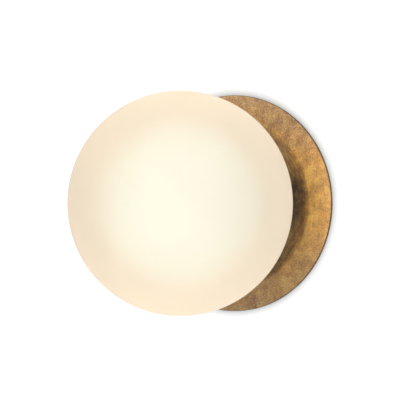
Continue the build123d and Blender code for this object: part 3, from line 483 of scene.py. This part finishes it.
def opal_glass():
    """Etched opal glass, lit from inside, in a casing that is thicker to look through towards its rim."""
    shader = Shader("opal_glass")
    etch = shader.noise(*GLASS_ETCH)
    tone = shader.noise(*GLASS_TONE)
    dull = [share - GLASS_DRIFT for share in GLASS_BASE]
    pale = [share + GLASS_DRIFT for share in GLASS_BASE]
    facing = shader.node("ShaderNodeLayerWeight").outputs["Facing"]
    casing_range = (0.0, 1.0, GLASS_CASING_START, GLASS_CASING_END)
    shader.surface(
        Base_Color=shader.mix(shader.spread(tone, 0.0, 1.0), dull, pale),
        Roughness=shader.spread(etch, *GLASS_ROUGH),
        IOR=GLASS_IOR,
        Specular_IOR_Level=GLASS_SPECULAR,
        Transmission_Weight=GLASS_CLEAR,
        Coat_Weight=shader.spread(facing, *casing_range, interpolation_type="SMOOTHSTEP"),
        Coat_IOR=GLASS_CASING_IOR,
        Coat_Roughness=GLASS_CASING_ROUGH,
        Coat_Tint=GLASS_CASING,
        Emission_Color=GLASS_GLOW,
        Emission_Strength=shader.product(glass_light(shader), GLASS_GLOW_LEVEL),
    )
    shader.relief(etch, GLASS_ETCH_RELIEF)
    return shader.material


def bulb_frost():
    """Frosted plastic dome, lit evenly from the board, with a clear skin that dims its rim."""
    shader = Shader("bulb_frost")
    frost = shader.noise(*BULB_FROST)
    shader.surface(
        Base_Color=shader.mix(shader.spread(frost, 0.0, 1.0), BULB_DULL, BULB_PALE),
        Roughness=shader.spread(frost, *BULB_ROUGH),
        Coat_Weight=1.0,
        Coat_IOR=BULB_SKIN_IOR,
        Coat_Roughness=BULB_SKIN_ROUGH,
        Coat_Tint=BULB_SKIN,
        Emission_Color=BULB_GLOW,
        Emission_Strength=BULB_GLOW_LEVEL,
    )
    shader.relief(frost, BULB_FROST_RELIEF)
    return shader.material


def led_phosphor():
    """Yellow phosphor over the chips."""
    shader = Shader("led_phosphor")
    cells = shader.noise(*CHIP_CELL)
    shader.surface(
        Base_Color=shader.mix(shader.spread(cells, 0.0, 1.0), CHIP_DARK, CHIP_LIGHT),
        Roughness=shader.spread(cells, *CHIP_ROUGH),
        Emission_Color=CHIP_GLOW,
        Emission_Strength=CHIP_GLOW_LEVEL,
    )
    shader.relief(cells, CHIP_CELL_RELIEF)
    return shader.material


def finishes():
    """Material of each slot."""
    made = {
        "aged_brass": aged_brass(),
        "opal_glass": opal_glass(),
        "bulb_frost": bulb_frost(),
        "led_phosphor": led_phosphor(),
        "porcelain": grained("porcelain", *PORCELAIN, Coat_Weight=PORCELAIN_GLAZE),
    }
    for slot, look in METALS.items():
        made[slot] = grained(slot, *look, Metallic=1.0)
    for slot, look in COATINGS.items():
        made[slot] = grained(slot, *look)
    return made


# Pieces and parts of the studio
def mesh_object(name, points, faces, material):
    """Object in the scene, with a mesh of one material."""
    mesh = bpy.data.meshes.new(name)
    mesh.from_pydata(points, [], faces)
    mesh.materials.append(material)
    made = bpy.data.objects.new(name, mesh)
    scene.collection.objects.link(made)
    return made


def new_piece(name, points, faces, material, body, node):
    """Smooth piece that rides on a body and stands for a node."""
    piece = mesh_object(name, points, faces, material)
    piece.data.shade_smooth()
    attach(piece, body)
    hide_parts(node)
    return piece


def stage_piece(name, points, faces, material):
    """Part of the studio, which is not part of the lamp."""
    piece = mesh_object(name, points, faces, material)


# Bulb's screw cap with a real thread, which the frame's node has as plain ridges
def lathe(rings, centre):
    """Closed skin through rings about the Y axis, each a list of (radius, distance from the wall)."""
    sides = len(rings[0])
    points = []
    for ring in rings:
        for side, (radius, height) in enumerate(ring):
            angle = 2 * pi * side / sides
            points.append((centre.x + radius * cos(angle), -height, centre.z + radius * sin(angle)))
    faces = []
    count = len(rings)
    for row in range(count):
        for side in range(sides):
            after = (side + 1) % sides
            low, high = row * sides, (row + 1) % count * sides
            faces.append((low + side, low + after, high + after, high + side))
    return points, faces


def plain_ring(radius, height):
    """Ring at one radius and height."""
    return [(radius, height)] * CAP_SIDES


def thread_rings(base, root):
    """Rings of a right-handed thread whose ridge grows in at its start and dies out at its end."""
    rings = []
    for step in range(CAP_TURNS * CAP_STEPS_PER_TURN + 1):
        along = step / CAP_STEPS_PER_TURN
        fade = min(1.0, along / CAP_FADE_TURNS, (CAP_TURNS - along) / CAP_FADE_TURNS)
        ring = []
        for side in range(CAP_SIDES):
            wave = 0.5 - 0.5 * cos(2 * pi * (along - side / CAP_SIDES))
            ring.append((root + CAP_DEPTH * fade * wave, base + along * CAP_PITCH))
        rings.append(ring)
    return rings


def bulb_cap(material):
    """Bulb's metal cap, with a rolled thread."""
    centre, low, high = middle("bulb_cap")
    crest = high.x - centre.x
    root = crest - CAP_DEPTH
    inside = root - CAP_WALL
    start, end = -high.y, -low.y
    rings = [plain_ring(inside, start)]
    rings += thread_rings(start + CAP_WALL, root)
    rings += [plain_ring(crest, end - CAP_COLLAR), plain_ring(crest, end), plain_ring(inside, end)]
    piece = new_piece("bulb_screw_cap", *lathe(rings, centre), material, "bulb", "bulb_cap")


# Studio and camera
def seen_rays(tree):
    """1 for rays from the camera, a reflection or glass, and 0 for those that light other surfaces."""
    rays = tree.nodes.new("ShaderNodeLightPath").outputs
    seen = rays["Is Camera Ray"]
    for kind in ("Is Glossy Ray", "Is Transmission Ray"):
        either = tree.nodes.new("ShaderNodeMath")
        either.operation = "MAXIMUM"
        tree.links.new(seen, either.inputs[0])
        tree.links.new(rays[kind], either.inputs[1])
        seen = either.outputs[0]
    return seen


def wall_paint():
    """White wall that glows less near the plate, which adds painted shadow to the plate's soft shadow, and is
    clear from behind.
    """
    shader = Shader("wall_paint")
    paint = shader.node("ShaderNodeBsdfDiffuse", {"Color": WALL_WHITE})
    axes = shader.axes()
    radius = shader.length(axes["X"], axes["Z"])
    # Painted shadow: the glow fades out near the plate
    level = shader.spread(radius, 0.0, WALL_GLOW, WALL_GLOW_START_R, WALL_GLOW_END_R)
    glow = shader.node("ShaderNodeEmission", {"Strength": shader.product(seen_rays(shader.tree), level)})
    front = shader.node("ShaderNodeAddShader", {0: paint.outputs[0], 1: glow.outputs[0]})
    behind = shader.node("ShaderNodeNewGeometry").outputs["Backfacing"]
    clear = shader.node("ShaderNodeBsdfTransparent")
    both = shader.node("ShaderNodeMixShader", {0: behind, 1: front.outputs[0], 2: clear.outputs[0]})
    shader.put(shader.tree.nodes["Material Output"].inputs["Surface"], both.outputs[0])
    return shader.material


def wall():
    """White wall with a round hole behind the plate, its front side towards the camera."""
    points = []
    for radius in (WALL_HOLE_R, WALL_R):
        for side in range(WALL_SIDES):
            angle = 2 * pi * side / WALL_SIDES
            points.append((radius * cos(angle), 0.0, radius * sin(angle)))
    faces = []
    for side in range(WALL_SIDES):
        after = (side + 1) % WALL_SIDES
        faces.append((side, WALL_SIDES + side, WALL_SIDES + after, after))
    stage_piece("wall", points, faces, wall_paint())


def floor():
    """Pale floor with a faint grain."""
    corners = [
        (-FLOOR_HALF, -FLOOR_HALF, FLOOR_Z),
        (FLOOR_HALF, -FLOOR_HALF, FLOOR_Z),
        (FLOOR_HALF, FLOOR_HALF, FLOOR_Z),
        (-FLOOR_HALF, FLOOR_HALF, FLOOR_Z),
    ]
    stage_piece("floor", corners, [(0, 1, 2, 3)], grained("floor_paint", *FLOOR_PAINT))


def surround():
    """Soft even light from all round, which looks white."""
    world = bpy.data.worlds.new("studio_surround")
    scene.world = world
    world.use_nodes = True
    tree = world.node_tree
    background = tree.nodes["Background"]
    background.inputs["Color"].default_value = SURROUND_COLOUR
    level = tree.nodes.new("ShaderNodeMapRange")
    level.inputs["To Min"].default_value = SURROUND_LIGHT
    level.inputs["To Max"].default_value = SURROUND_SEEN
    tree.links.new(seen_rays(tree), level.inputs["Value"])
    tree.links.new(level.outputs[0], background.inputs["Strength"])


def softbox(name, place, size, power):
    """Square area lamp that points at the sconce."""
    data = bpy.data.lights.new(name, "AREA")
    data.size = size
    data.energy = power
    lamp = bpy.data.objects.new(name, data)
    lamp.location = place
    lamp.rotation_mode = "QUATERNION"
    lamp.rotation_quaternion = (CAMERA_AIM - Vector(place)).to_track_quat("-Z", "Y")
    scene.collection.objects.link(lamp)


def photo_camera():
    """Camera that sees the lamp as the photograph does."""
    data = bpy.data.cameras.new("photo_camera")
    data.sensor_width = CAMERA_SENSOR_MM
    data.lens = CAMERA_LENS_MM
    data.clip_end = CAMERA_REACH
    camera = bpy.data.objects.new("photo_camera", data)
    back = Vector((sin(CAMERA_AZIMUTH), -cos(CAMERA_AZIMUTH), 0.0))
    camera.location = CAMERA_AIM + CAMERA_DISTANCE * back + Vector((0.0, 0.0, CAMERA_RISE))
    camera.rotation_mode = "QUATERNION"
    camera.rotation_quaternion = (-back).to_track_quat("-Z", "Y")
    scene.collection.objects.link(camera)
    scene.camera = camera


scene.view_settings.view_transform = "Standard"
photo_camera()
wall()
floor()
surround()
for lamp_name, lamp_look in SOFTBOXES.items():
    softbox(lamp_name, *lamp_look)

materials = finishes()
for part in frame["record"]["subparts"]:
    node_mesh = frame["nodes"][part["node"]].data
    node_mesh.materials.clear()
    node_mesh.materials.append(materials[part["material_slot"]])
bulb_cap(materials["nickel"])
